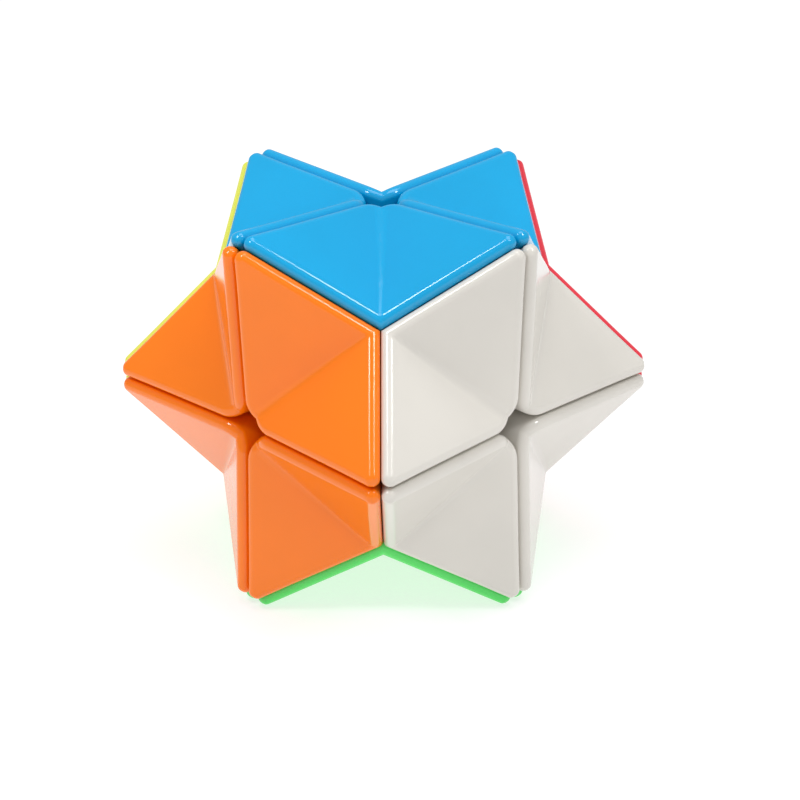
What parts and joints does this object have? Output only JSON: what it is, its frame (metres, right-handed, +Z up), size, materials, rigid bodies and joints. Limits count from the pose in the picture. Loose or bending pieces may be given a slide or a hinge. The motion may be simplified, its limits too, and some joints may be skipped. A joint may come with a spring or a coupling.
{
  "type": "twisty puzzle",
  "caption": "Glossy stickerless twisty puzzle shaped like a star with blunt points and faceted dimples, cut through the middle on three axes, each face its own colour.",
  "frame": {"origin": "centre of the core, where the three cuts cross", "axes": "+Z up through the centre of the blue side, +X through the centre of the white side, -Y through the centre of the orange side"},
  "size_m": [0.0566, 0.0566, 0.0566],
  "materials": {
    "blue_tiles": "high gloss, moulded in colour",
    "orange_tiles": "high gloss, moulded in colour",
    "white_tiles": "high gloss, moulded in warm white",
    "green_tiles": "high gloss, moulded in colour",
    "red_tiles": "high gloss, moulded in colour",
    "yellow_tiles": "high gloss, moulded in colour",
    "corner_frames": "satin moulded plastic",
    "inner_edges": "satin moulded plastic",
    "inner_centres": "satin moulded plastic",
    "core": "satin moulded plastic",
    "screws": "zinc-plated steel",
    "washers": "plain steel",
    "springs": "spring steel wire"
  },
  "bodies": {
    "core_and_fixed_corner": {"core": "core", "tension_screws": "screws", "screw_washers": "washers", "tension_springs": "springs", "dbl_yellow_tile": "yellow_tiles", "dbl_red_tile": "red_tiles", "dbl_green_tile": "green_tiles", "dbl_corner_frame": "corner_frames", "d_inner_centre": "inner_centres", "b_inner_centre": "inner_centres", "l_inner_centre": "inner_centres", "bl_inner_edge": "inner_edges", "db_inner_edge": "inner_edges", "dl_inner_edge": "inner_edges"},
    "upper_layer": {"ubl_yellow_tile": "yellow_tiles", "ubl_red_tile": "red_tiles", "ubl_blue_tile": "blue_tiles", "ubl_corner_frame": "corner_frames", "u_inner_centre": "inner_centres", "ub_inner_edge": "inner_edges", "ul_inner_edge": "inner_edges"},
    "right_layer": {"dbr_white_tile": "white_tiles", "dbr_red_tile": "red_tiles", "dbr_green_tile": "green_tiles", "dbr_corner_frame": "corner_frames", "r_inner_centre": "inner_centres", "br_inner_edge": "inner_edges", "dr_inner_edge": "inner_edges"},
    "front_layer": {"dfl_yellow_tile": "yellow_tiles", "dfl_orange_tile": "orange_tiles", "dfl_green_tile": "green_tiles", "dfl_corner_frame": "corner_frames", "f_inner_centre": "inner_centres", "fl_inner_edge": "inner_edges", "df_inner_edge": "inner_edges"},
    "ufl_corner": {"ufl_yellow_tile": "yellow_tiles", "ufl_orange_tile": "orange_tiles", "ufl_blue_tile": "blue_tiles", "ufl_corner_frame": "corner_frames", "uf_inner_edge": "inner_edges"},
    "ubr_corner": {"ubr_white_tile": "white_tiles", "ubr_red_tile": "red_tiles", "ubr_blue_tile": "blue_tiles", "ubr_corner_frame": "corner_frames", "ur_inner_edge": "inner_edges"},
    "dfr_corner": {"dfr_white_tile": "white_tiles", "dfr_orange_tile": "orange_tiles", "dfr_green_tile": "green_tiles", "dfr_corner_frame": "corner_frames", "fr_inner_edge": "inner_edges"},
    "ufr_corner": {"ufr_white_tile": "white_tiles", "ufr_orange_tile": "orange_tiles", "ufr_blue_tile": "blue_tiles", "ufr_corner_frame": "corner_frames"}
  },
  "joints": [
    {"name": "upper_turn", "type": "hinge", "parent": "core_and_fixed_corner", "child": "upper_layer", "pos_m": [0, 0, 0], "axis": [0, 0, 1], "continuous": true},
    {"name": "right_turn", "type": "hinge", "parent": "core_and_fixed_corner", "child": "right_layer", "pos_m": [0, 0, 0], "axis": [1, 0, 0], "range_deg": [-360, 360]},
    {"name": "front_turn", "type": "hinge", "parent": "core_and_fixed_corner", "child": "front_layer", "pos_m": [0, 0, 0], "axis": [0, -1, 0], "range_deg": [-360, 360]},
    {"name": "ufl_with_front", "type": "hinge", "parent": "upper_layer", "child": "ufl_corner", "pos_m": [0, 0, 0], "axis": [0, -1, 0], "range_deg": [-360, 360]},
    {"name": "ubr_with_right", "type": "hinge", "parent": "upper_layer", "child": "ubr_corner", "pos_m": [0, 0, 0], "axis": [1, 0, 0], "range_deg": [-360, 360]},
    {"name": "dfr_with_front", "type": "hinge", "parent": "right_layer", "child": "dfr_corner", "pos_m": [0, 0, 0], "axis": [0, -1, 0], "range_deg": [-360, 360]},
    {"name": "ufr_with_front", "type": "hinge", "parent": "ubr_corner", "child": "ufr_corner", "pos_m": [0, 0, 0], "axis": [0, -1, 0], "range_deg": [-360, 360]}
  ],
  "couplings": [
    {"joint": "ufl_with_front", "follows": "front_turn", "ratio": 1},
    {"joint": "ubr_with_right", "follows": "right_turn", "ratio": 1},
    {"joint": "dfr_with_front", "follows": "front_turn", "ratio": 1},
    {"joint": "ufr_with_front", "follows": "front_turn", "ratio": 1}
  ]
}
